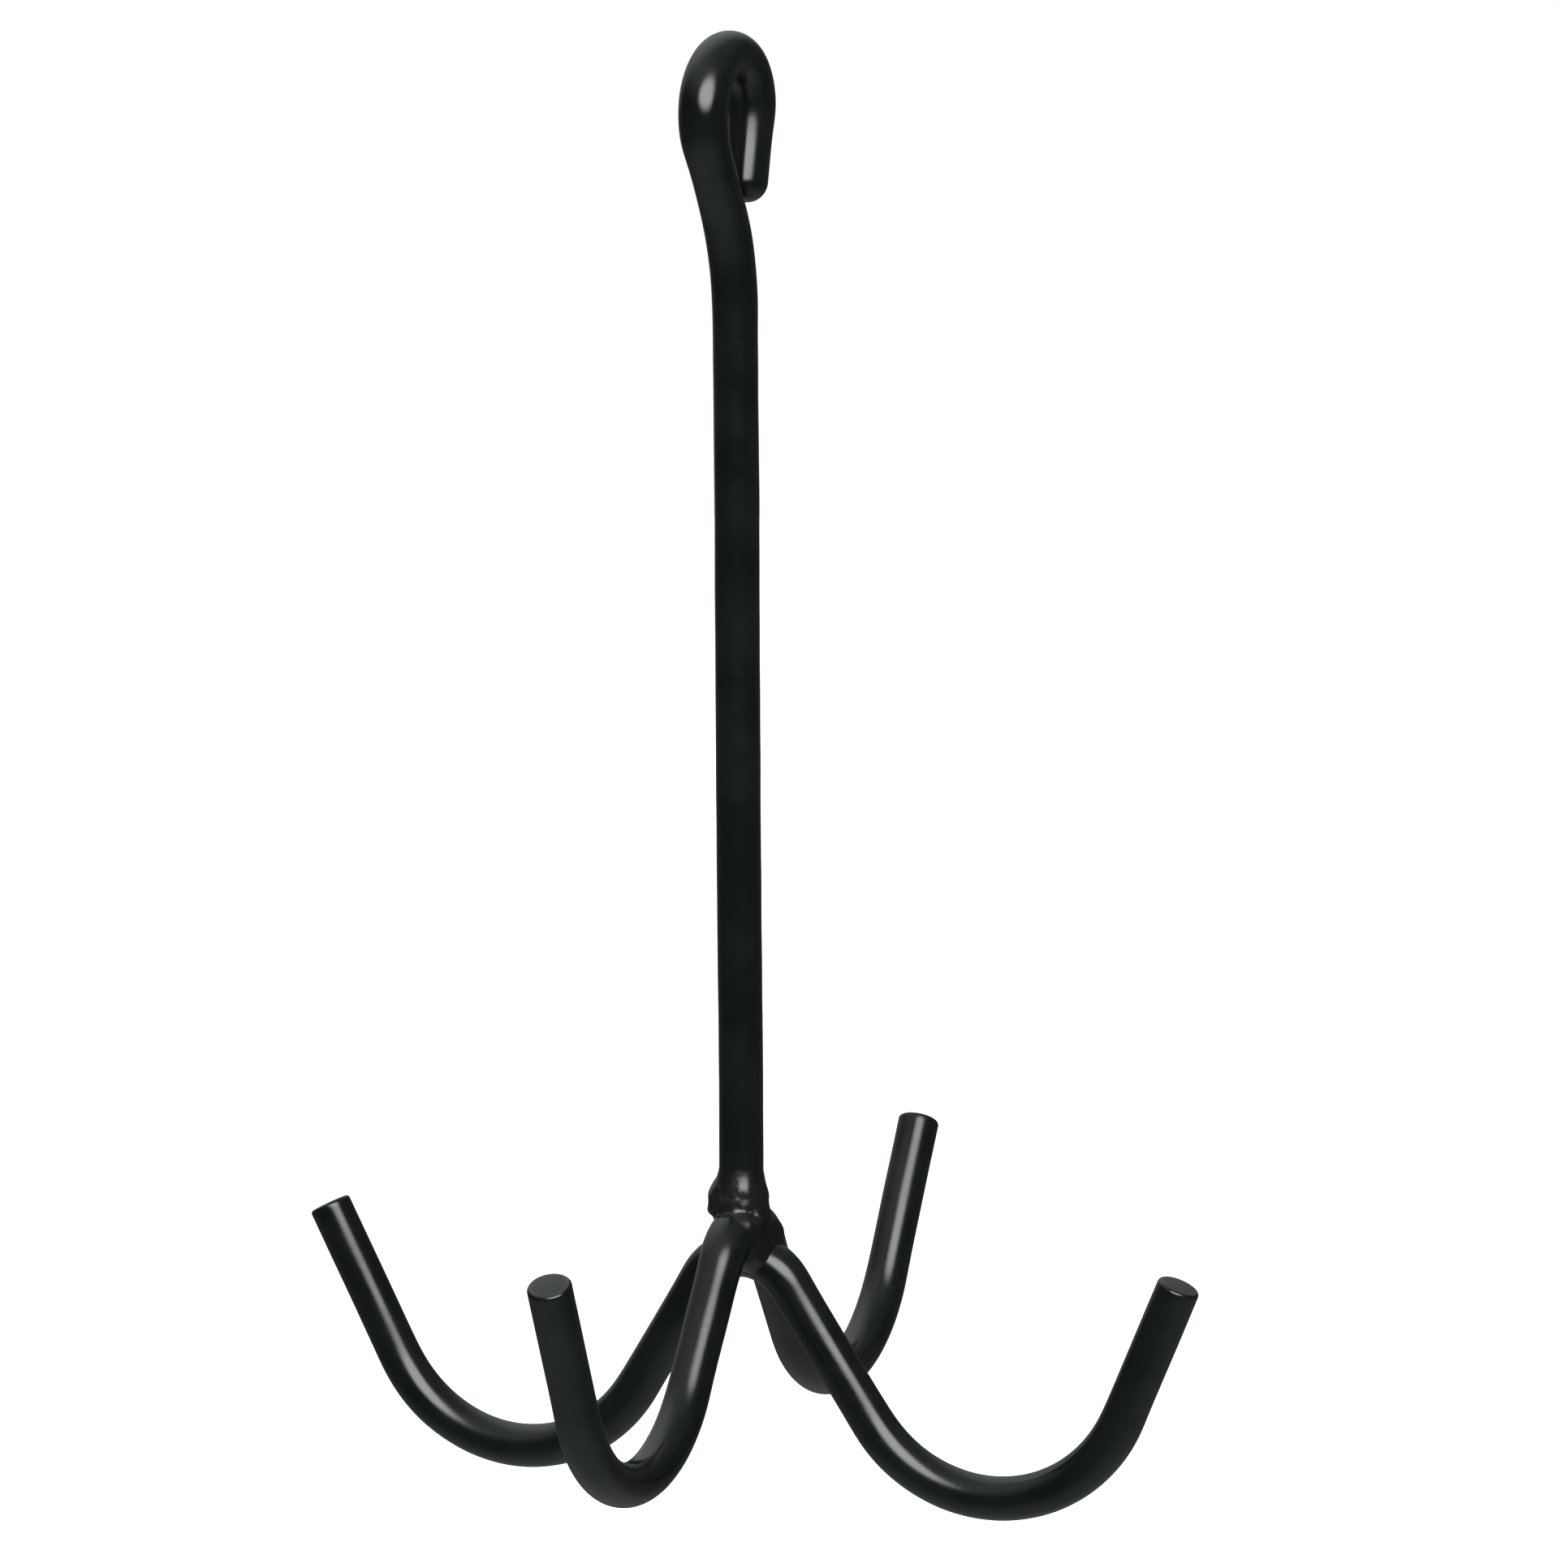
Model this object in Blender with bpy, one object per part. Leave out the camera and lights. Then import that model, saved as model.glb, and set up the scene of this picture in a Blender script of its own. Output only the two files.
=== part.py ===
"""Four-prong hanging hook of round steel bar: an eyed shank, two crossed double hooks, weld beads.

Metres, +Z up. The origin is the hanging point, on the shank's axis under the top of the eye.
The shank runs down -Z. The upper cross rod lies along Y and the lower one along X.
"""

import math

import bmesh
import bpy
from mathutils import Matrix, Vector

MM = 0.001

# Bar stock, millimetres.
BAR_RADIUS = 4.0
BEVEL_RESOLUTION = 6  # makes a 16-sided bar
END_CHAMFER = 0.5
GAP = 0.3  # clearance left between pieces that touch

# Levels below the hanging point, millimetres.
SHANK_TOP_OF_STRAIGHT = -43.0
UPPER_ROD_LEVEL = -211.2
ROD_STACK = 5.8  # the rods are pressed into each other as they are welded: the lower one is notched
LOWER_ROD_LEVEL = UPPER_ROD_LEVEL - ROD_STACK
SHANK_FOOT = UPPER_ROD_LEVEL + BAR_RADIUS + GAP

# Eye, bent in the plane of the upper cross rod: (bend radius, degrees) or (straight length,).
# A positive bend turns back over the shank, and a negative one leans out towards the front.
EYE_AZIMUTH = -92.0
EYE_LEAN = ((42.0, -30.5), (11.5,))
EYE_CURL = ((10.9, 122.0), (9.6, 101.0))
EYE_RETURN = ((15.2,),)
EYE_SWELL = 1.08  # the tight bend upsets the bar, so it is a little thicker there

# Prongs, from the crown out to the cut end: azimuth, radius of the bend off the crown, leg angle
# from vertical, leg length, radius of the hook's bend, tip lean from vertical, tip length.
PRONG_FRONT = (-90.3, 12.4, 36.2, 26.2, 27.9, 23.2, 29.5)
PRONG_BACK = (90.0, 11.7, 33.4, 24.1, 28.8, 32.5, 33.2)
PRONG_RIGHT = (1.1, 10.4, 33.3, 29.9, 27.8, 22.6, 28.0)
PRONG_LEFT = (179.4, 9.8, 31.5, 26.3, 28.5, 27.2, 31.7)
UPPER_ROD_SHIFT = (0.2, 0.2)  # the crown's place off the shank's axis
LOWER_ROD_SHIFT = (0.5, 0.3)

# Weld beads: azimuth, distance from the shank's axis, height over the top of the upper rod or over
# the crossing, and the half sizes (out, across, up) of the rounded lump each is cut from.
SHANK_WELD_LEFT = (180.0, 3.5, 0.9, (2.6, 3.6, 4.3))
SHANK_WELD_RIGHT = (0.0, 2.7, 1.3, (2.6, 3.6, 3.6))
CROSS_WELDS = {
    "front_right": (-45.0, 4.6, -0.4, (2.6, 3.3, 3.9)),
    "front_left": (-135.0, 4.1, -0.9, (2.3, 2.8, 3.2)),
    "back_left": (135.0, 4.1, -0.9, (2.3, 2.8, 3.2)),
    "back_right": (45.0, 4.4, -0.6, (2.4, 3.1, 3.5)),
}

ARC_STEP = 6.0  # degrees of bend between two rings of a bar

COATING = (0.012, 0.014, 0.014, 1.0)
WELD_COATING = (0.016, 0.018, 0.018, 1.0)


def clear_scene():
    for obj in list(bpy.data.objects):
        bpy.data.objects.remove(obj)


def new_collection(name):
    collection = bpy.data.collections.new(name)
    bpy.context.scene.collection.children.link(collection)
    return collection


def coating(name, colour, roughness):
    material = bpy.data.materials.new(name)
    material.use_nodes = True
    shader = material.node_tree.nodes["Principled BSDF"]
    shader.inputs["Base Color"].default_value = colour
    shader.inputs["Roughness"].default_value = roughness
    shader.inputs["Metallic"].default_value = 0.0
    return material


def bent_path(start, heading, runs):
    """The points (out, up) of a bar bent in one plane, from straight runs and circular bends."""
    points = [start]
    angle = math.radians(heading)
    for run in runs:
        out, up = points[-1]
        if len(run) == 1:
            points.append((out + run[0] * math.cos(angle), up + run[0] * math.sin(angle)))
            continue
        radius, turn = run[0], math.radians(run[1])
        side = math.copysign(radius, turn)
        centre = (out - side * math.sin(angle), up + side * math.cos(angle))
        steps = max(2, round(abs(run[1]) / ARC_STEP))
        for step in range(1, steps + 1):
            here = angle + turn * step / steps
            points.append((centre[0] + side * math.sin(here), centre[1] - side * math.cos(here)))
        angle += turn
    return points


def stand(points, azimuth, shift=(0.0, 0.0)):
    """Turns (out, up) points into space, out being the horizontal direction at this azimuth."""
    across = math.cos(math.radians(azimuth)), math.sin(math.radians(azimuth))
    return [
        Vector((shift[0] + out * across[0], shift[1] + out * across[1], up)) for out, up in points
    ]


def prong(table, level, shift):
    """One prong from the middle of the crown to its cut end."""
    azimuth, crown_radius, leg_angle, leg, hook_radius, tip_lean, tip = table
    runs = (
        (crown_radius, leg_angle - 90.0),
        (leg,),
        (hook_radius, 180.0 - leg_angle - tip_lean),
        (tip,),
    )
    return stand(bent_path((0.0, level), 0.0, runs), azimuth, shift)


def eyed_shank():
    """The shank from its foot to the cut end of the eye, as (point, radius scale) pairs."""
    start = (0.0, SHANK_TOP_OF_STRAIGHT)
    points = bent_path(start, 90.0, EYE_LEAN + EYE_CURL + EYE_RETURN)
    first = len(bent_path(start, 90.0, EYE_LEAN)) - 1
    last = len(points) - 1 - len(EYE_RETURN)
    pairs = [(Vector((0.0, 0.0, SHANK_FOOT)), 1.0)]
    for number, point in enumerate(stand(points, EYE_AZIMUTH)):
        ease = max(0.0, min(1.0, (number - first) / 3.0, (last - number) / 3.0))
        pairs.append((point, 1.0 + (EYE_SWELL - 1.0) * ease))
    return chamfer_end(pairs)


def double_hook(first, second, level, shift):
    """A cross rod from the cut end of one prong over the crown to the other cut end."""
    points = prong(first, level, shift)[:0:-1] + prong(second, level, shift)
    pairs = chamfer_end([(point, 1.0) for point in points])
    return chamfer_end(pairs[::-1])[::-1]


def chamfer_end(pairs):
    """Narrows the last point, and adds a full-width one just inside it."""
    end, scale = pairs[-1]
    inwards = (pairs[-2][0] - end).normalized()
    small = scale - END_CHAMFER / BAR_RADIUS
    return pairs[:-1] + [(end + END_CHAMFER * inwards, scale), (end, small)]


def bar(name, pairs, radius, collection):
    """A round bar swept along (point, radius scale) pairs in millimetres, its ends cut square."""
    curve = bpy.data.curves.new(name, "CURVE")
    curve.dimensions = "3D"
    curve.bevel_depth = radius * MM
    curve.bevel_resolution = BEVEL_RESOLUTION
    curve.use_fill_caps = True
    spline = curve.splines.new("POLY")
    spline.points.add(len(pairs) - 1)
    for spot, (point, scale) in zip(spline.points, pairs):
        spot.co = (*(point * MM), 1.0)
        spot.radius = scale
    spline.use_smooth = True
    obj = bpy.data.objects.new(name, curve)
    collection.objects.link(obj)
    return obj


def bar_mesh(name, pairs, radius, collection):
    """A bar as a closed mesh, for cutting or for being cut."""
    swept = bar(name + "_sweep", pairs, radius, collection)
    bpy.context.view_layer.update()
    mesh = bpy.data.meshes.new_from_object(swept.evaluated_get(bpy.context.evaluated_depsgraph_get()))
    bpy.data.objects.remove(swept)
    shell = bmesh.new()
    shell.from_mesh(mesh)
    bmesh.ops.remove_doubles(shell, verts=shell.verts, dist=0.001 * MM)
    bmesh.ops.recalc_face_normals(shell, faces=shell.faces)
    shell.to_mesh(mesh)
    shell.free()
    obj = bpy.data.objects.new(name, mesh)
    collection.objects.link(obj)
    return obj


def cutter(name, pairs, collection):
    """A bar with the clearance added, to cut other pieces clear of that bar."""
    obj = bar_mesh(name, pairs, BAR_RADIUS + GAP, collection)
    obj.hide_render = True
    obj.display_type = "WIRE"
    return obj


def cut_clear(obj, cutters):
    for other in cutters:
        cut = obj.modifiers.new("clear_of_" + other.name, "BOOLEAN")
        cut.operation = "DIFFERENCE"
        cut.solver = "EXACT"
        cut.object = other


def weld_bead(name, table, level, cutters, collection, material):
    """A rounded lump of weld metal, cut clear of the bars it joins."""
    azimuth, distance, height, half_sizes = table
    shell = bmesh.new()
    bmesh.ops.create_uvsphere(shell, u_segments=20, v_segments=12, radius=1.0)
    shell.transform(Matrix.Diagonal((*(size * MM for size in half_sizes), 1.0)))
    mesh = bpy.data.meshes.new(name)
    shell.to_mesh(mesh)
    shell.free()
    mesh.shade_smooth()
    mesh.materials.append(material)
    turn = math.radians(azimuth)
    obj = bpy.data.objects.new(name, mesh)
    obj.rotation_euler.z = turn
    obj.location = Vector((distance * math.cos(turn), distance * math.sin(turn), level + height)) * MM
    collection.objects.link(obj)
    cut_clear(obj, cutters)
    return obj


def main():
    clear_scene()
    hook = new_collection("four_prong_hook")
    cutters = new_collection("cutters")
    black = coating("black_coating", COATING, 0.3)
    weld_black = coating("black_coating_on_weld", WELD_COATING, 0.4)

    paths = {
        "shank_rod": eyed_shank(),
        "upper_cross_rod": double_hook(PRONG_FRONT, PRONG_BACK, UPPER_ROD_LEVEL, UPPER_ROD_SHIFT),
        "lower_cross_rod": double_hook(PRONG_LEFT, PRONG_RIGHT, LOWER_ROD_LEVEL, LOWER_ROD_SHIFT),
    }
    bars = {name: bar_mesh(name, pairs, BAR_RADIUS, hook) for name, pairs in paths.items()}
    for obj in bars.values():
        obj.data.materials.append(black)
        obj.data.shade_smooth()
    around = {name: cutter(name + "_clearance", pairs, cutters) for name, pairs in paths.items()}
    cut_clear(bars["lower_cross_rod"], [around["upper_cross_rod"]])

    foot_cutters = [around["shank_rod"], around["upper_cross_rod"]]
    top_of_rod = UPPER_ROD_LEVEL + BAR_RADIUS
    weld_bead("shank_weld_left", SHANK_WELD_LEFT, top_of_rod, foot_cutters, hook, weld_black)
    weld_bead("shank_weld_right", SHANK_WELD_RIGHT, top_of_rod, foot_cutters, hook, weld_black)

    crossing_cutters = [around["upper_cross_rod"], around["lower_cross_rod"]]
    crossing = (UPPER_ROD_LEVEL + LOWER_ROD_LEVEL) / 2.0
    for side, table in CROSS_WELDS.items():
        weld_bead("cross_weld_" + side, table, crossing, crossing_cutters, hook, weld_black)


main()
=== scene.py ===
import itertools
import math

import bpy
import numpy as np
from mathutils import Matrix, Vector


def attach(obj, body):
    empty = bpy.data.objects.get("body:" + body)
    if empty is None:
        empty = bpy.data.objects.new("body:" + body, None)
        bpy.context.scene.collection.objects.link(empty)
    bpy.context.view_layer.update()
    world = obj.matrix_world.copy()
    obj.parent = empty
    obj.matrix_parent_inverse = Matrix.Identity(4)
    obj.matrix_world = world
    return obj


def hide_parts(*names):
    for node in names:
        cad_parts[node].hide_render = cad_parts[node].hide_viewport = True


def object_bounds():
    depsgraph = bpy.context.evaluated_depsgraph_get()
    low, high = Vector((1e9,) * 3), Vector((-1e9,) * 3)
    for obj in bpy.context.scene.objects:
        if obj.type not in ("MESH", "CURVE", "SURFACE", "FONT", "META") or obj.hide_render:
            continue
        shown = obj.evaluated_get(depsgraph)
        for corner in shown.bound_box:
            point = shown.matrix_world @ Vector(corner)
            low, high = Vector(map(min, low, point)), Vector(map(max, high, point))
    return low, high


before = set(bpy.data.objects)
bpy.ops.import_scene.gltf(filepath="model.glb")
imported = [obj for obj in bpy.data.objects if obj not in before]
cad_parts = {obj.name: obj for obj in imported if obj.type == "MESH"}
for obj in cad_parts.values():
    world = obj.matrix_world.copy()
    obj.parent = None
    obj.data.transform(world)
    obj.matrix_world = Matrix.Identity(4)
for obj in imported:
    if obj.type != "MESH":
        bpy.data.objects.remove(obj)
cad_low, cad_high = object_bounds()

MM = 0.001

# The bars, in millimetres and degrees, as in the CAD. Levels are below the hanging point.
BAR_RADIUS = 4.0
SHANK_TOP_OF_STRAIGHT = -43.0
UPPER_ROD_LEVEL = -211.2
ROD_STACK = 5.8  # between the two rods' axes: they are pressed into each other at the crown
LOWER_ROD_LEVEL = UPPER_ROD_LEVEL - ROD_STACK
FOOT_GAP = 0.3  # left between the shank's foot and the upper rod
SHANK_FOOT = UPPER_ROD_LEVEL + BAR_RADIUS + FOOT_GAP

# The eye: (bend radius, degrees) or (straight length,). A positive bend turns back over the shank,
# and a negative one leans out towards the front.
EYE_AZIMUTH = -92.0
EYE_LEAN = ((42.0, -30.5), (11.5,))
EYE_CURL = ((10.9, 122.0), (9.6, 101.0))
EYE_RETURN = 15.2  # straight length to its cut end

# Prongs: azimuth, radius of the bend off the crown, leg angle from vertical, leg length, radius
# of the hook's bend, tip lean from vertical, tip length.
PRONG_FRONT = (-90.3, 12.4, 36.2, 26.2, 27.9, 23.2, 29.5)
PRONG_BACK = (90.0, 11.7, 33.4, 24.1, 28.8, 32.5, 33.2)
PRONG_RIGHT = (1.1, 10.4, 33.3, 29.9, 27.8, 22.6, 28.0)
PRONG_LEFT = (179.4, 9.8, 31.5, 26.3, 28.5, 27.2, 31.7)
UPPER_ROD_SHIFT = (0.2, 0.2)  # the crown's place off the shank's axis
LOWER_ROD_SHIFT = (0.5, 0.3)

# Finish of the bars.
SIDES = 56  # vertices round a bar
RING_STEP = 0.7  # between two rings
BEND_EASE = 1.4  # a bend starts and ends gradually, over about this length
RIM_RADIUS = 0.75  # the coating rounds the rim of a cut end
FOOT_RIM_RADIUS = 0.4
EYE_RIM_RADIUS = 3.8  # the eye's end is ground round
EYE_DRIP = 0.4  # the coating gathers at the eye's low end
RIM_RINGS = 7  # the fewest rings round a rim
RIM_STEP = 0.4  # and the widest step between them
FACE_RINGS = 7
FACE_DOME = 0.037  # height of a cut face's dome, as a share of its flat radius
FACE_WEAR = 0.6  # wear of a cut face just inside its rim, falling to none inwards
CENTRE_WEAR = 0.3  # and at its very middle
TIGHT_BEND = 10.0  # a bend of this radius swells the bar by the two shares below
SWELL_ACROSS = 1.11
SWELL_RADIAL = 1.07
MOST_TIGHT = 1.2  # the most that a still tighter bend counts for
SWELL_EASE = 2.0 * BEND_EASE  # the swelling starts and ends more slowly than the bend
COATING_WAVE = 0.025  # how unevenly the coating lies
COATING_WAVE_LENGTH = 14.0
SHANK_COAT = 0.12  # the coating lies thicker on the shank
HAND_BEND = 0.06  # how far the bar wanders from its ideal line
HAND_BEND_LENGTH = 55.0
BAR_SEED = 10
BAR_SEED_STEP = 20  # from one bar's seeds to the next one's
COATING_SEED = 9  # added for a bar's coating
WAVES = 14
WAVE_SPREAD = (0.7, 1.5)  # the shortest and longest wave, as shares of the wavelength asked for
TAIL = 3.0  # how many reaches to each side an average takes in


def ripple(points, wavelength, seed):
    """Smooth random bumps, mostly within -1..1, made of waves in random directions."""
    chance = np.random.default_rng(seed)
    directions = chance.normal(size=(WAVES, 3))
    directions /= np.linalg.norm(directions, axis=1)[:, None]
    lengths = wavelength * chance.uniform(*WAVE_SPREAD, WAVES)
    phases = chance.uniform(0.0, 2.0 * math.pi, WAVES)
    turns = 2.0 * math.pi * (directions / lengths[:, None])
    return np.sin(points @ turns.T + phases).sum(axis=1) / math.sqrt(2.0 * WAVES)


def bent_path(start, heading, runs):
    """Rows (out, up, curvature) along a bar bent in one plane by straight runs and bends."""
    out, up = start
    angle = math.radians(heading)
    rows = [(out, up, 0.0)]
    for run in runs:
        if len(run) == 1:
            steps = math.ceil(run[0] / RING_STEP)
            for step in range(1, steps + 1):
                along = run[0] * step / steps
                rows.append((out + along * math.cos(angle), up + along * math.sin(angle), 0.0))
        else:
            radius, turn = run[0], math.radians(run[1])
            side = math.copysign(radius, turn)
            centre = (out - side * math.sin(angle), up + side * math.cos(angle))
            steps = math.ceil(abs(turn) * radius / RING_STEP)
            for step in range(1, steps + 1):
                here = angle + turn * step / steps
                rows.append(
                    (centre[0] + side * math.sin(here), centre[1] - side * math.cos(here), 1 / side)
                )
            angle += turn
        out, up = rows[-1][:2]
    return np.array(rows)


def stand(rows, azimuth, shift=(0.0, 0.0)):
    """Turns (out, up, curvature) rows into (x, y, z, curvature), out lying at this azimuth."""
    turn = math.radians(azimuth)
    return np.column_stack(
        (
            shift[0] + rows[:, 0] * math.cos(turn),
            shift[1] + rows[:, 0] * math.sin(turn),
            rows[:, 1:],
        )
    )


def smoothed(values, reach):
    """Values averaged along the bar over about this many millimetres, its ends kept in place."""
    count = math.ceil(TAIL * reach / RING_STEP)
    weights = np.exp(-0.5 * (np.arange(-count, count + 1) * RING_STEP / reach) ** 2)
    weights /= weights.sum()
    before = 2.0 * values[:1] - values[count:0:-1]
    after = 2.0 * values[-1:] - values[-2 : -count - 2 : -1]
    longer = np.concatenate((before, values, after))
    return np.stack([np.convolve(line, weights, "valid") for line in longer.T], axis=1)


def prong(table, level, shift):
    """One prong from the middle of the crown to the start of its end's rounded rim."""
    azimuth, crown_radius, leg_angle, leg, hook_radius, tip_lean, tip = table
    runs = (
        (crown_radius, leg_angle - 90.0),
        (leg,),
        (hook_radius, 180.0 - leg_angle - tip_lean),
        (tip - RIM_RADIUS,),
    )
    return stand(bent_path((0.0, level), 0.0, runs), azimuth, shift)


def double_hook(first, second, level, shift):
    """A cross rod from the cut end of one prong over the crown to the other cut end."""
    return np.concatenate((prong(first, level, shift)[:0:-1], prong(second, level, shift)))


def eyed_shank():
    """The shank from its foot to the start of the rounding at the eye's end."""
    straight = bent_path((0.0, SHANK_FOOT), 90.0, ((SHANK_TOP_OF_STRAIGHT - SHANK_FOOT,),))
    back = ((EYE_RETURN - EYE_RIM_RADIUS + EYE_DRIP,),)
    eye = bent_path((0.0, SHANK_TOP_OF_STRAIGHT), 90.0, EYE_LEAN + EYE_CURL + back)
    return stand(np.concatenate((straight, eye[1:])), EYE_AZIMUTH)


def rounded_end(rim):
    """Rows (advance, radius lost, wear) that round a cut end's rim and close it, and its peak."""
    rows = []
    rings = max(RIM_RINGS, math.ceil(0.5 * math.pi * rim / RIM_STEP))
    for step in range(1, rings + 1):
        turn = 0.5 * math.pi * step / rings
        rows.append((rim * math.sin(turn), rim * (1.0 - math.cos(turn)), math.sin(turn) ** 2))
    flat = BAR_RADIUS - rim
    for step in range(1, FACE_RINGS):
        share = step / FACE_RINGS
        dome = FACE_DOME * flat * (1.0 - (1.0 - share) ** 2)
        rows.append((rim + dome, rim + flat * share, FACE_WEAR * (1.0 - share)))
    return rows, rim + FACE_DOME * flat


def hand_bent(rows, seed):
    """The rows of a bar with its bends eased and its line wandering a little."""
    eased = smoothed(rows[:, :3], BEND_EASE)
    wander = np.column_stack([ripple(eased, HAND_BEND_LENGTH, seed + axis) for axis in range(3)])
    return np.column_stack((eased + HAND_BEND * wander, smoothed(rows[:, 3:], SWELL_EASE)))


def bar_directions(centres, across):
    """The (tangent, side, upright) directions at each point of a bar bent square to across."""
    tangents = np.gradient(centres, axis=0)
    tangents /= np.linalg.norm(tangents, axis=1)[:, None]
    side = np.array(across) - (tangents @ np.array(across))[:, None] * tangents
    side /= np.linalg.norm(side, axis=1)[:, None]
    return tangents, side, np.cross(side, tangents)


def tube_faces(rings):
    """Quads between neighbouring rings, and fans to the two end points that follow them."""
    faces = []
    for ring in range(rings - 1):
        for corner in range(SIDES):
            here, there = ring * SIDES + corner, ring * SIDES + (corner + 1) % SIDES
            faces.append((here, there, there + SIDES, here + SIDES))
    first, last = rings * SIDES, rings * SIDES + 1
    base = (rings - 1) * SIDES
    for corner in range(SIDES):
        after = (corner + 1) % SIDES
        faces.append((after, corner, first))
        faces.append((base + corner, base + after, last))
    return faces


def sweep_bar(name, rows, across, rims, bar_radius, seed):
    """A coated round bar along rows, with rounded rims at its two ends."""
    centres = rows[:, :3]
    tangents, side, upright = bar_directions(centres, across)
    tight = np.minimum(np.abs(rows[:, 3]) * TIGHT_BEND, MOST_TIGHT)
    wide = 1.0 + (SWELL_ACROSS - 1.0) * tight
    high = 1.0 + (SWELL_RADIAL - 1.0) * tight
    # Each ring: where along the rows it takes its shape from, its centre, radius and wear.
    rings = [(number, centre, bar_radius, 0.0) for number, centre in enumerate(centres)]
    tips = []
    for end, rim in zip((0, -1), rims):
        steps, peak = rounded_end(rim)
        heading = tangents[end] if end else -tangents[end]
        extra = [
            (end, centres[end] + advance * heading, bar_radius - lost, wear)
            for advance, lost, wear in steps
        ]
        tips.append(centres[end] + peak * heading)
        rings = rings + extra if end else extra[::-1] + rings
    angles = 2.0 * math.pi * np.arange(SIDES) / SIDES
    circle = np.column_stack((np.cos(angles), np.sin(angles)))
    points, wear = [], []
    for number, centre, radius, worn in rings:
        out = circle[:, :1] * wide[number] * side[number]
        out = out + circle[:, 1:] * high[number] * upright[number]
        points.append(centre + radius * out)
        wear += [worn] * SIDES
    points = np.concatenate(points)
    outward = points - np.repeat([ring[1] for ring in rings], SIDES, axis=0)
    wave = COATING_WAVE * ripple(points, COATING_WAVE_LENGTH, seed)
    points += wave[:, None] * outward / BAR_RADIUS
    points = np.concatenate((points, tips))
    return piece(name, points, tube_faces(len(rings)), wear + [CENTRE_WEAR] * len(tips))


def piece(name, points, faces, wear):
    """A smooth mesh object from points in millimetres, with a wear share at each vertex."""
    mesh = bpy.data.meshes.new(name)
    mesh.from_pydata((np.asarray(points) * MM).tolist(), [], faces)
    worn = mesh.attributes.new("wear", "FLOAT", "POINT")
    worn.data.foreach_set("value", np.array(wear, np.float32))
    mesh.shade_smooth()
    mesh.validate()
    obj = bpy.data.objects.new(name, mesh)
    bpy.context.scene.collection.objects.link(obj)
    return obj


# Weld metal. All the lumps melt into one mass that runs out over the bars with a smooth toe, and
# each bead is the part of the mass nearest to its own lumps.
BEAD_STEP = 0.24  # of the grid that a bead's skin is found on
MELT = 0.42  # how softly the lumps run into each other
TOE = 1.7  # how softly the mass runs out over the bars
TOE_REACH = 1.7  # how far it runs out
SUNK = 0.03  # the bead's skin dips this far under the bars' skin away from the lumps
ROOT = 0.9  # how deep a bead reaches into the bars
SEAM_LAP = 0.4  # how far a bead runs past its seam with the next one
SEAM_DIP = 0.08  # how deep it dips under the next one there
BEAD_RIPPLE = 0.14  # height of the ripples left by welding
BEAD_RIPPLE_LENGTH = 3.0
BEAD_GRAIN = 0.035  # height of the finer unevenness
BEAD_GRAIN_LENGTH = 1.3
BEAD_SEED = 210
GRID_MARGIN = 0.8  # how far a bead's grid reaches past its toes
SKIN_MARGIN = 1.0  # the skin is worked out this far beyond the toes
TINY = 1e-6  # stands in for no slope at a lump's very centre

TOP_OF_ROD = UPPER_ROD_LEVEL + BAR_RADIUS
CROSSING = (UPPER_ROD_LEVEL + LOWER_ROD_LEVEL) / 2.0

# Lumps: azimuth, distance from the shank's axis, level, half sizes (out, across, up).
BEADS = {
    "shank_weld_left": (
        (186.0, 3.1, TOP_OF_ROD + 1.0, (3.1, 3.8, 3.6)),
        (214.0, 3.5, TOP_OF_ROD + 0.9, (1.9, 1.8, 1.5)),
        (228.0, 3.4, TOP_OF_ROD + 2.6, (1.9, 2.0, 1.8)),
        (248.0, 3.8, TOP_OF_ROD + 0.4, (1.9, 2.4, 1.3)),
        (150.0, 2.6, TOP_OF_ROD + 0.2, (2.5, 2.9, 3.3)),
        (203.0, 3.9, TOP_OF_ROD - 1.1, (2.2, 2.6, 1.6)),
    ),
    "shank_weld_right": (
        (-85.0, 0.4, TOP_OF_ROD + 0.2, (5.0, 5.0, 7.2)),
        (8.0, 1.2, TOP_OF_ROD - 0.4, (3.4, 3.9, 4.6)),
        (62.0, 1.2, TOP_OF_ROD + 0.2, (3.1, 3.6, 4.0)),
    ),
    "cross_weld_front_right": (
        (-46.0, 4.6, CROSSING + 0.4, (3.0, 4.2, 4.7)),
        (-20.0, 3.5, CROSSING + 4.2, (2.7, 3.4, 3.4)),
        (-66.0, 4.5, CROSSING + 3.2, (2.6, 2.8, 2.9)),
        (-42.0, 4.4, CROSSING - 2.6, (2.4, 3.4, 2.4)),
    ),
    "cross_weld_front_left": (
        (-135.0, 3.9, CROSSING - 0.4, (2.3, 2.9, 3.3)),
        (-165.0, 4.2, CROSSING + 0.8, (1.6, 1.9, 2.3)),
    ),
    "cross_weld_back_left": (
        (135.0, 4.0, CROSSING - 0.4, (2.3, 2.8, 3.2)),
        (112.0, 4.4, CROSSING, (1.5, 1.7, 2.1)),
    ),
    "cross_weld_back_right": (
        (30.0, 4.8, CROSSING + 0.2, (3.3, 3.8, 4.3)),
        (12.0, 3.0, CROSSING + 3.4, (2.6, 3.1, 3.5)),
    ),
}


def lump_distance(points, lump):
    """Roughly the distance of points from a rounded lump, negative inside it."""
    azimuth, distance, level, half_sizes = lump
    turn = math.radians(azimuth)
    out = np.array((math.cos(turn), math.sin(turn), 0.0))
    across = np.array((-out[1], out[0], 0.0))
    local = points - distance * out - (0.0, 0.0, level)
    local = np.column_stack((local @ out, local @ across, local[:, 2]))
    sizes = np.array(half_sizes)
    far = np.linalg.norm(local / sizes, axis=1)
    steep = np.linalg.norm(local / sizes**2, axis=1)
    return far * (far - 1.0) / np.maximum(steep, TINY)


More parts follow.
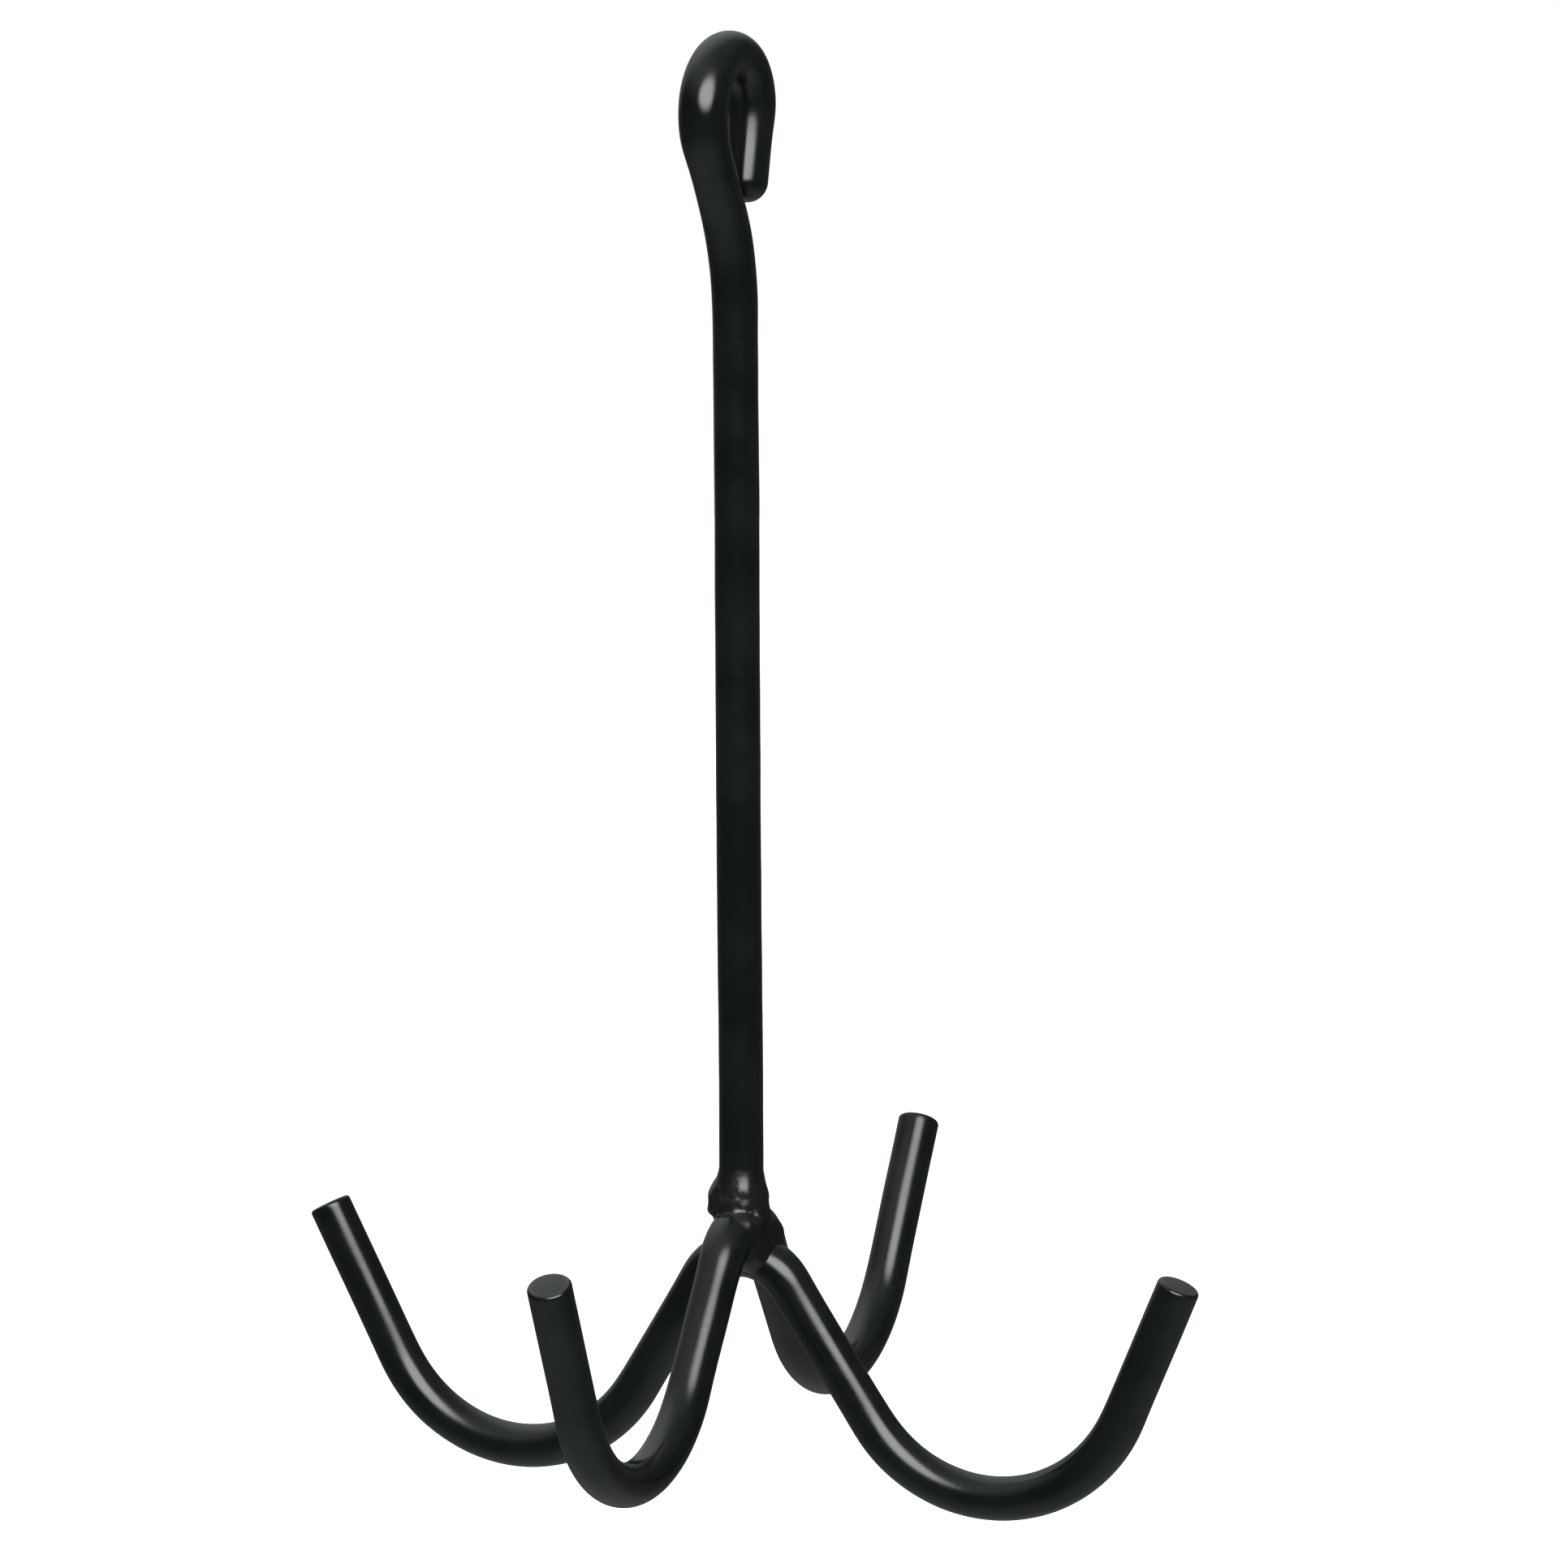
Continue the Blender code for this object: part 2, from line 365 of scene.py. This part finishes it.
def bar_distance(points, rows, radius):
    """The distance of points from the skin of a round bar whose centre line is rows."""
    best = np.full(len(points), np.inf)
    for start, end in zip(rows[:-1, :3], rows[1:, :3]):
        run = end - start
        along = np.clip((points - start) @ run / (run @ run), 0.0, 1.0)
        best = np.minimum(best, np.linalg.norm(points - start - along[:, None] * run, axis=1))
    return best - radius


def melt(first, second, reach):
    """The union of two shapes by distance, with a fillet of about this reach between them."""
    blend = np.clip(0.5 + 0.5 * (second - first) / reach, 0.0, 1.0)
    return second + (first - second) * blend - reach * blend * (1.0 - blend)


def zero_surface(values, corner, step):
    """Points and quads of the surface between negative (inside) and positive grid values."""
    cells = tuple(size - 1 for size in values.shape)
    total, count = np.zeros((*cells, 3)), np.zeros(cells)
    crossings = []
    for axis in range(3):
        low = [slice(None)] * 3
        high = [slice(None)] * 3
        low[axis], high[axis] = slice(0, -1), slice(1, None)
        a, b = values[tuple(low)], values[tuple(high)]
        crossed = (a < 0.0) != (b < 0.0)
        share = np.where(crossed, a / np.where(crossed, a - b, 1.0), 0.0)
        crossings.append((crossed, a < 0.0))
        others = [other for other in range(3) if other != axis]
        for steps in itertools.product((0, 1), repeat=2):
            window = [slice(None)] * 3
            for other, move in zip(others, steps):
                window[other] = slice(move, move + cells[other])
            here, part = crossed[tuple(window)], share[tuple(window)]
            count += here
            total[..., axis] += part
            for other, move in zip(others, steps):
                total[..., other] += here * move
    used = count > 0
    number = np.full(cells, -1)
    number[used] = np.arange(used.sum())
    points = (np.argwhere(used) + total[used] / count[used][:, None]) * step + corner
    faces = []
    for axis, (crossed, starts_inside) in enumerate(crossings):
        one, two = [(1, 2), (2, 0), (0, 1)][axis]
        spots = np.argwhere(crossed)
        rings = []
        for move_one, move_two in ((1, 1), (0, 1), (0, 0), (1, 0)):
            cell = spots.copy()
            cell[:, one] -= move_one
            cell[:, two] -= move_two
            rings.append(number[tuple(cell.T)])
        rings = np.stack(rings, axis=1)
        outwards = starts_inside[tuple(spots.T)]
        faces += rings[outwards].tolist() + rings[~outwards][:, ::-1].tolist()
    return points, faces


def biggest_part(points, faces):
    """The largest connected part of a mesh of quads, leaving out any crumb beside it."""
    faces = np.array(faces)
    part = np.arange(len(points))
    while True:
        lowest = np.repeat(part[faces].min(axis=1), faces.shape[1])
        merged = part.copy()
        np.minimum.at(merged, faces.ravel(), lowest)
        merged = merged[merged]
        if (merged == part).all():
            break
        part = merged
    kept = part == np.bincount(part).argmax()
    number = np.cumsum(kept) - 1
    return points[kept], number[faces[kept[faces[:, 0]]]].tolist()


def gathered(points, lumps):
    """How much these lumps add to the mass at each point: more inside them, little far away."""
    return sum(np.exp(-lump_distance(points, lump) / MELT) for lump in lumps)


def weld_bead(name, lumps, others, bars):
    """The part of the weld metal nearest to these lumps, melted into the bars it joins."""
    reach = max(max(lump[3]) for lump in lumps) + TOE_REACH + GRID_MARGIN
    centres = []
    for azimuth, distance, level, _ in lumps:
        turn = math.radians(azimuth)
        centres.append((distance * math.cos(turn), distance * math.sin(turn), level))
    corner = np.floor((np.min(centres, axis=0) - reach) / BEAD_STEP) * BEAD_STEP
    far = np.max(centres, axis=0) + reach
    shape = tuple(int(size) for size in np.ceil((far - corner) / BEAD_STEP) + 1)
    grid = np.stack(np.indices(shape), axis=-1).reshape(-1, 3) * BEAD_STEP + corner
    own = gathered(grid, lumps)
    field = -MELT * np.log(own)
    close_by = field < TOE_REACH + SKIN_MARGIN
    points, own = grid[close_by], own[close_by]
    rest = gathered(points, others)
    mass = -MELT * np.log(own + rest)
    mass += BEAD_RIPPLE * ripple(points, BEAD_RIPPLE_LENGTH, BEAD_SEED)
    mass += BEAD_GRAIN * ripple(points, BEAD_GRAIN_LENGTH, BEAD_SEED + 1)
    near = np.full(len(points), np.inf)
    middle = (corner + far) / 2.0
    span = np.linalg.norm(far - corner) / 2.0 + BAR_RADIUS
    for rows, radius in bars:
        here = rows[np.linalg.norm(rows[:, :3] - middle, axis=1) < span]
        near = np.minimum(near, bar_distance(points, here, radius))
    skin = np.maximum(melt(mass, near + SUNK, TOE), mass - TOE_REACH)
    past = MELT * np.log(rest / own) / SEAM_LAP
    skin += SEAM_DIP * np.clip(past, 0.0, 1.0)
    field[close_by] = np.maximum(np.maximum(skin, -near - ROOT), SEAM_LAP * (past - 1.0))
    points, faces = biggest_part(*zero_surface(field.reshape(shape), corner, BEAD_STEP))
    return piece(name, points, faces, np.zeros(len(points)))


def node(tree, kind, inputs=(), **settings):
    """A new shader node with these settings, its inputs given as values or as sockets."""
    made = tree.nodes.new(kind)
    for key, value in settings.items():
        setattr(made, key, value)
    for name, value in dict(inputs).items():
        if isinstance(value, bpy.types.NodeSocket):
            tree.links.new(value, made.inputs[name])
        else:
            made.inputs[name].default_value = value
    return made


def noise(tree, place, features_per_metre, detail):
    """Cloudy noise in the object's own space."""
    return node(
        tree,
        "ShaderNodeTexNoise",
        {
            "Vector": place,
            "Scale": features_per_metre,
            "Detail": detail,
            "Roughness": NOISE_ROUGHNESS,
        },
    ).outputs[0]


def ranged(tree, value, low, high, to_low, to_high):
    """The value eased from one range to another, and held at its ends."""
    return node(
        tree,
        "ShaderNodeMapRange",
        {"Value": value, "From Min": low, "From Max": high, "To Min": to_low, "To Max": to_high},
        interpolation_type="SMOOTHSTEP",
    ).outputs[0]


def mixed(tree, share, first, second):
    """The first colour at share 0, the second at share 1."""
    return node(
        tree, "ShaderNodeMix", {0: share, 6: first, 7: second}, data_type="RGBA"
    ).outputs[2]


def maths(tree, operation, first, second):
    """The two values put together by this operation."""
    return node(tree, "ShaderNodeMath", {0: first, 1: second}, operation=operation).outputs[0]


# Black enamel. Each noise: features per metre, detail. Depths are in millimetres.
NOISE_ROUGHNESS = 0.55
CLOUD = (70.0, 3.0)
BLOTCH = (260.0, 3.0)
PEEL = (620.0, 2.0)
GRAIN = (2600.0, 2.0)
SPECK = (1700.0, 1.0)
CLOUD_RANGE = (0.3, 0.7)  # the noise that turns the deep tone into the bloom
GLOSS_RANGE = (0.7, 1.3)  # cloud and blotch together, from smooth to matt
SPECK_RANGE = (0.73, 0.81)
SPECK_SHARE = 0.3  # how much a speck changes the tone
SPECK_MATT = 0.15
SPECK_COLOUR = (0.010, 0.011, 0.012, 1.0)
CHIP_RANGE = (1.22, 1.42)  # wear and blotch together, from whole to chipped
CHIP_MATT = 0.15
CHIP_COLOUR = (0.02, 0.021, 0.023, 1.0)
BAR_LOOK = {
    "deep": (0.0014, 0.0024, 0.0021, 1.0),
    "bloom": (0.0034, 0.0046, 0.0048, 1.0),
    "smooth": 0.15,
    "matt": 0.22,
    "peel_depth": 0.010,
    "grain_depth": 0.0015,
}
WELD_LOOK = {
    "deep": (0.0014, 0.0020, 0.0020, 1.0),
    "bloom": (0.0040, 0.0046, 0.0048, 1.0),
    "smooth": 0.18,
    "matt": 0.28,
    "peel_depth": 0.03,
    "grain_depth": 0.004,
}


def coating(name, deep, bloom, smooth, matt, peel_depth, grain_depth):
    """Black enamel: cloudy tone, uneven gloss, orange peel, specks, and thin worn rims."""
    material = bpy.data.materials.new(name)
    material.use_nodes = True
    tree = material.node_tree
    shader = tree.nodes["Principled BSDF"]
    place = node(tree, "ShaderNodeTexCoord").outputs["Object"]
    cloud = noise(tree, place, *CLOUD)
    blotch = noise(tree, place, *BLOTCH)
    peel = noise(tree, place, *PEEL)
    grain = noise(tree, place, *GRAIN)
    specks = ranged(tree, noise(tree, place, *SPECK), *SPECK_RANGE, 0.0, 1.0)
    worn = node(tree, "ShaderNodeAttribute", attribute_name="wear").outputs["Fac"]
    chipped = ranged(tree, maths(tree, "ADD", worn, blotch), *CHIP_RANGE, 0.0, 1.0)

    colour = mixed(tree, ranged(tree, cloud, *CLOUD_RANGE, 0.0, 1.0), deep, bloom)
    speckled = maths(tree, "MULTIPLY", specks, SPECK_SHARE)
    colour = mixed(tree, speckled, colour, SPECK_COLOUR)
    colour = mixed(tree, chipped, colour, CHIP_COLOUR)
    tree.links.new(colour, shader.inputs["Base Color"])

    gloss = ranged(tree, maths(tree, "ADD", cloud, blotch), *GLOSS_RANGE, smooth, matt)
    gloss = maths(tree, "ADD", gloss, maths(tree, "MULTIPLY", specks, SPECK_MATT))
    gloss = maths(tree, "ADD", gloss, maths(tree, "MULTIPLY", chipped, CHIP_MATT))
    tree.links.new(gloss, shader.inputs["Roughness"])

    skin = node(
        tree, "ShaderNodeBump", {"Height": peel, "Strength": 1.0, "Distance": peel_depth * MM}
    ).outputs[0]
    skin = node(
        tree,
        "ShaderNodeBump",
        {"Height": grain, "Strength": 1.0, "Distance": grain_depth * MM, "Normal": skin},
    ).outputs[0]
    tree.links.new(skin, shader.inputs["Normal"])
    return material


black = coating("black_enamel", **BAR_LOOK)
weld_black = coating("black_enamel_on_weld", **WELD_LOOK)

paths = {
    "shank_rod": eyed_shank(),
    "upper_cross_rod": double_hook(PRONG_FRONT, PRONG_BACK, UPPER_ROD_LEVEL, UPPER_ROD_SHIFT),
    "lower_cross_rod": double_hook(PRONG_LEFT, PRONG_RIGHT, LOWER_ROD_LEVEL, LOWER_ROD_SHIFT),
}
eye_turn = math.radians(EYE_AZIMUTH)
across = {  # square to the plane that each bar is bent in
    "shank_rod": (-math.sin(eye_turn), math.cos(eye_turn), 0.0),
    "upper_cross_rod": (1.0, 0.0, 0.0),
    "lower_cross_rod": (0.0, 1.0, 0.0),
}
rims = {
    "shank_rod": (FOOT_RIM_RADIUS, EYE_RIM_RADIUS),
    "upper_cross_rod": (RIM_RADIUS, RIM_RADIUS),
    "lower_cross_rod": (RIM_RADIUS, RIM_RADIUS),
}
made, bars = {}, []
for number, (name, ideal) in enumerate(paths.items()):
    seed = BAR_SEED + BAR_SEED_STEP * number
    rows = hand_bent(ideal, seed)
    radius = BAR_RADIUS + (SHANK_COAT if name == "shank_rod" else 0.0)
    made[name] = sweep_bar(
        "coated_" + name, rows, across[name], rims[name], radius, seed + COATING_SEED
    )
    bars.append((rows, radius))
for name, lumps in BEADS.items():
    others = [lump for other, more in BEADS.items() if other != name for lump in more]
    made[name] = weld_bead("coated_" + name, lumps, others, bars)
for name, obj in made.items():
    on_weld = "weld" in name
    obj.data.materials.append(weld_black if on_weld else black)
    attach(obj, "root")
    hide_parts(name)


# Camera: azimuth from the front (-Y) towards +X, elevation, distance and aim, in millimetres.
CAMERA_AZIMUTH = 22.714
CAMERA_ELEVATION = 8.619
CAMERA_DISTANCE = 1248.93
CAMERA_ROLL = -0.33
CAMERA_AIM_RIGHT = 7.35
CAMERA_AIM_LEVEL = -128.8
PICTURE_WIDTH, PICTURE_HEIGHT = 1918, 1932
PICTURE_SCALE = 6.711  # picture pixels in a millimetre at the aim
SENSOR = 36.0
SEEN_FROM, SEEN_TO = 0.05, 100.0  # metres in front of the camera


def unit(azimuth, elevation):
    """The direction from the object towards this azimuth (from the front, + is right)."""
    a, e = math.radians(azimuth), math.radians(elevation)
    return Vector((math.sin(a) * math.cos(e), -math.cos(a) * math.cos(e), math.sin(e)))


def turned_to(backwards, roll=0.0):
    """The rotation of a camera or lamp whose back points this way."""
    right = Vector((0.0, 0.0, 1.0)).cross(backwards).normalized()
    up = backwards.cross(right)
    r = math.radians(roll)
    side = right * math.cos(r) + up * math.sin(r)
    top = -right * math.sin(r) + up * math.cos(r)
    return Matrix((side, top, backwards)).transposed().to_4x4()


camera_turn = math.radians(CAMERA_AZIMUTH)
aim_right = Vector((math.cos(camera_turn), math.sin(camera_turn), 0.0))
aim = (CAMERA_AIM_RIGHT * aim_right + Vector((0.0, 0.0, CAMERA_AIM_LEVEL))) * MM
backwards = unit(CAMERA_AZIMUTH, CAMERA_ELEVATION)
lens = bpy.data.cameras.new("camera")
lens.sensor_width = SENSOR
lens.lens = PICTURE_SCALE * CAMERA_DISTANCE / max(PICTURE_WIDTH, PICTURE_HEIGHT) * SENSOR
lens.clip_start, lens.clip_end = SEEN_FROM, SEEN_TO
camera = bpy.data.objects.new("camera", lens)
camera.matrix_world = (
    Matrix.Translation(aim + backwards * CAMERA_DISTANCE * MM) @ turned_to(backwards, CAMERA_ROLL)
)
bpy.context.scene.collection.objects.link(camera)
bpy.context.scene.camera = camera

# Softbox: right of the camera and above it, broad, and brighter in the middle than at its edge.
SOFTBOX_AZIMUTH = CAMERA_AZIMUTH + 8.5
SOFTBOX_ELEVATION = 33.0
# Its layers, the nearest first: distance in metres, half angles, radiance.
SOFTBOX_LAYERS = {
    "wide": (1.50, (34.0, 23.0), 2.4),
    "middle": (1.54, (29.5, 19.5), 2.6),
    "core": (1.58, (25.0, 16.0), 3.0),
}
lamp_way = unit(SOFTBOX_AZIMUTH, SOFTBOX_ELEVATION)
for layer, (distance, half_angles, radiance) in SOFTBOX_LAYERS.items():
    lamp = bpy.data.lights.new("softbox_" + layer, "AREA")
    lamp.shape = "ELLIPSE"
    lamp.size, lamp.size_y = (2.0 * distance * math.tan(math.radians(half)) for half in half_angles)
    area = math.pi * lamp.size * lamp.size_y / 4.0
    lamp.energy = radiance * math.pi * area
    softbox = bpy.data.objects.new("softbox_" + layer, lamp)
    softbox.matrix_world = Matrix.Translation(aim + lamp_way * distance) @ turned_to(lamp_way)
    softbox.visible_camera = False
    bpy.context.scene.collection.objects.link(softbox)

# Room: white where the camera sees it. What the gloss sees is dim at eye level, and lighter above
# on the left, below, and high behind the object. Each light: azimuth, elevation, the cosines off
# that direction where it starts and where it is full, and its strength at both.
ABOVE = (0.0, 90.0, 0.25, 0.85, 0.0, 1.0)
ON_LEFT = (CAMERA_AZIMUTH - 90.0, 0.0, -0.6, 0.5, 0.15, 0.56)
BELOW = (0.0, -90.0, 0.3, 0.95, 0.0, 0.25)
BEHIND = (CAMERA_AZIMUTH - 160.0, 36.0, 0.6, 0.96, 0.0, 0.36)
EYE_LEVEL_LIGHT = 0.07
ROOM_TINT = (0.95, 1.0, 1.03, 1.0)
WHITE = (1.0, 1.0, 1.0, 1.0)
world = bpy.data.worlds.new("room")
world.use_nodes = True
tree = world.node_tree
tree.nodes.clear()
way = node(tree, "ShaderNodeTexCoord").outputs["Generated"]


def towards(azimuth, elevation, low, high, to_low, to_high):
    """Light that grows from to_low to to_high as the way turns towards this direction."""
    aligned = node(
        tree,
        "ShaderNodeVectorMath",
        {0: way, 1: unit(azimuth, elevation)},
        operation="DOT_PRODUCT",
    ).outputs["Value"]
    return ranged(tree, aligned, low, high, to_low, to_high)


light = maths(tree, "MULTIPLY", towards(*ABOVE), towards(*ON_LEFT))
for more in (towards(*BELOW), towards(*BEHIND), EYE_LEVEL_LIGHT):
    light = maths(tree, "ADD", light, more)
seen = node(tree, "ShaderNodeLightPath").outputs["Is Camera Ray"]
room = node(tree, "ShaderNodeBackground", {"Color": ROOM_TINT, "Strength": light}).outputs[0]
white = node(tree, "ShaderNodeBackground", {"Color": WHITE}).outputs[0]
shown = node(tree, "ShaderNodeMixShader", {0: seen, 1: room, 2: white}).outputs[0]
node(tree, "ShaderNodeOutputWorld", {"Surface": shown})
bpy.context.scene.world = world
bpy.context.scene.view_settings.view_transform = "Standard"

# Floor: plain and pale, well below the prongs.
FLOOR_DROP = 0.12  # metres
FLOOR_HALF = 2.5
FLOOR_COLOUR = (0.8, 0.8, 0.8, 1.0)
FLOOR_ROUGHNESS = 0.9
FLOOR_GLOW = 0.95  # so that it stays as pale as the room
floor_level = cad_low.z - FLOOR_DROP
floor_mesh = bpy.data.meshes.new("floor")
floor_mesh.from_pydata(
    [
        (x * FLOOR_HALF, y * FLOOR_HALF, floor_level)
        for x, y in ((-1, -1), (1, -1), (1, 1), (-1, 1))
    ],
    [],
    [(0, 1, 2, 3)],
)
floor = bpy.data.objects.new("floor", floor_mesh)
bpy.context.scene.collection.objects.link(floor)
pale = bpy.data.materials.new("pale_floor")
pale.use_nodes = True
paint = pale.node_tree.nodes["Principled BSDF"]
paint.inputs["Base Color"].default_value = FLOOR_COLOUR
paint.inputs["Roughness"].default_value = FLOOR_ROUGHNESS
paint.inputs["Emission Color"].default_value = WHITE
paint.inputs["Emission Strength"].default_value = FLOOR_GLOW
floor_mesh.materials.append(pale)
floor.visible_glossy = False

bpy.context.view_layer.update()
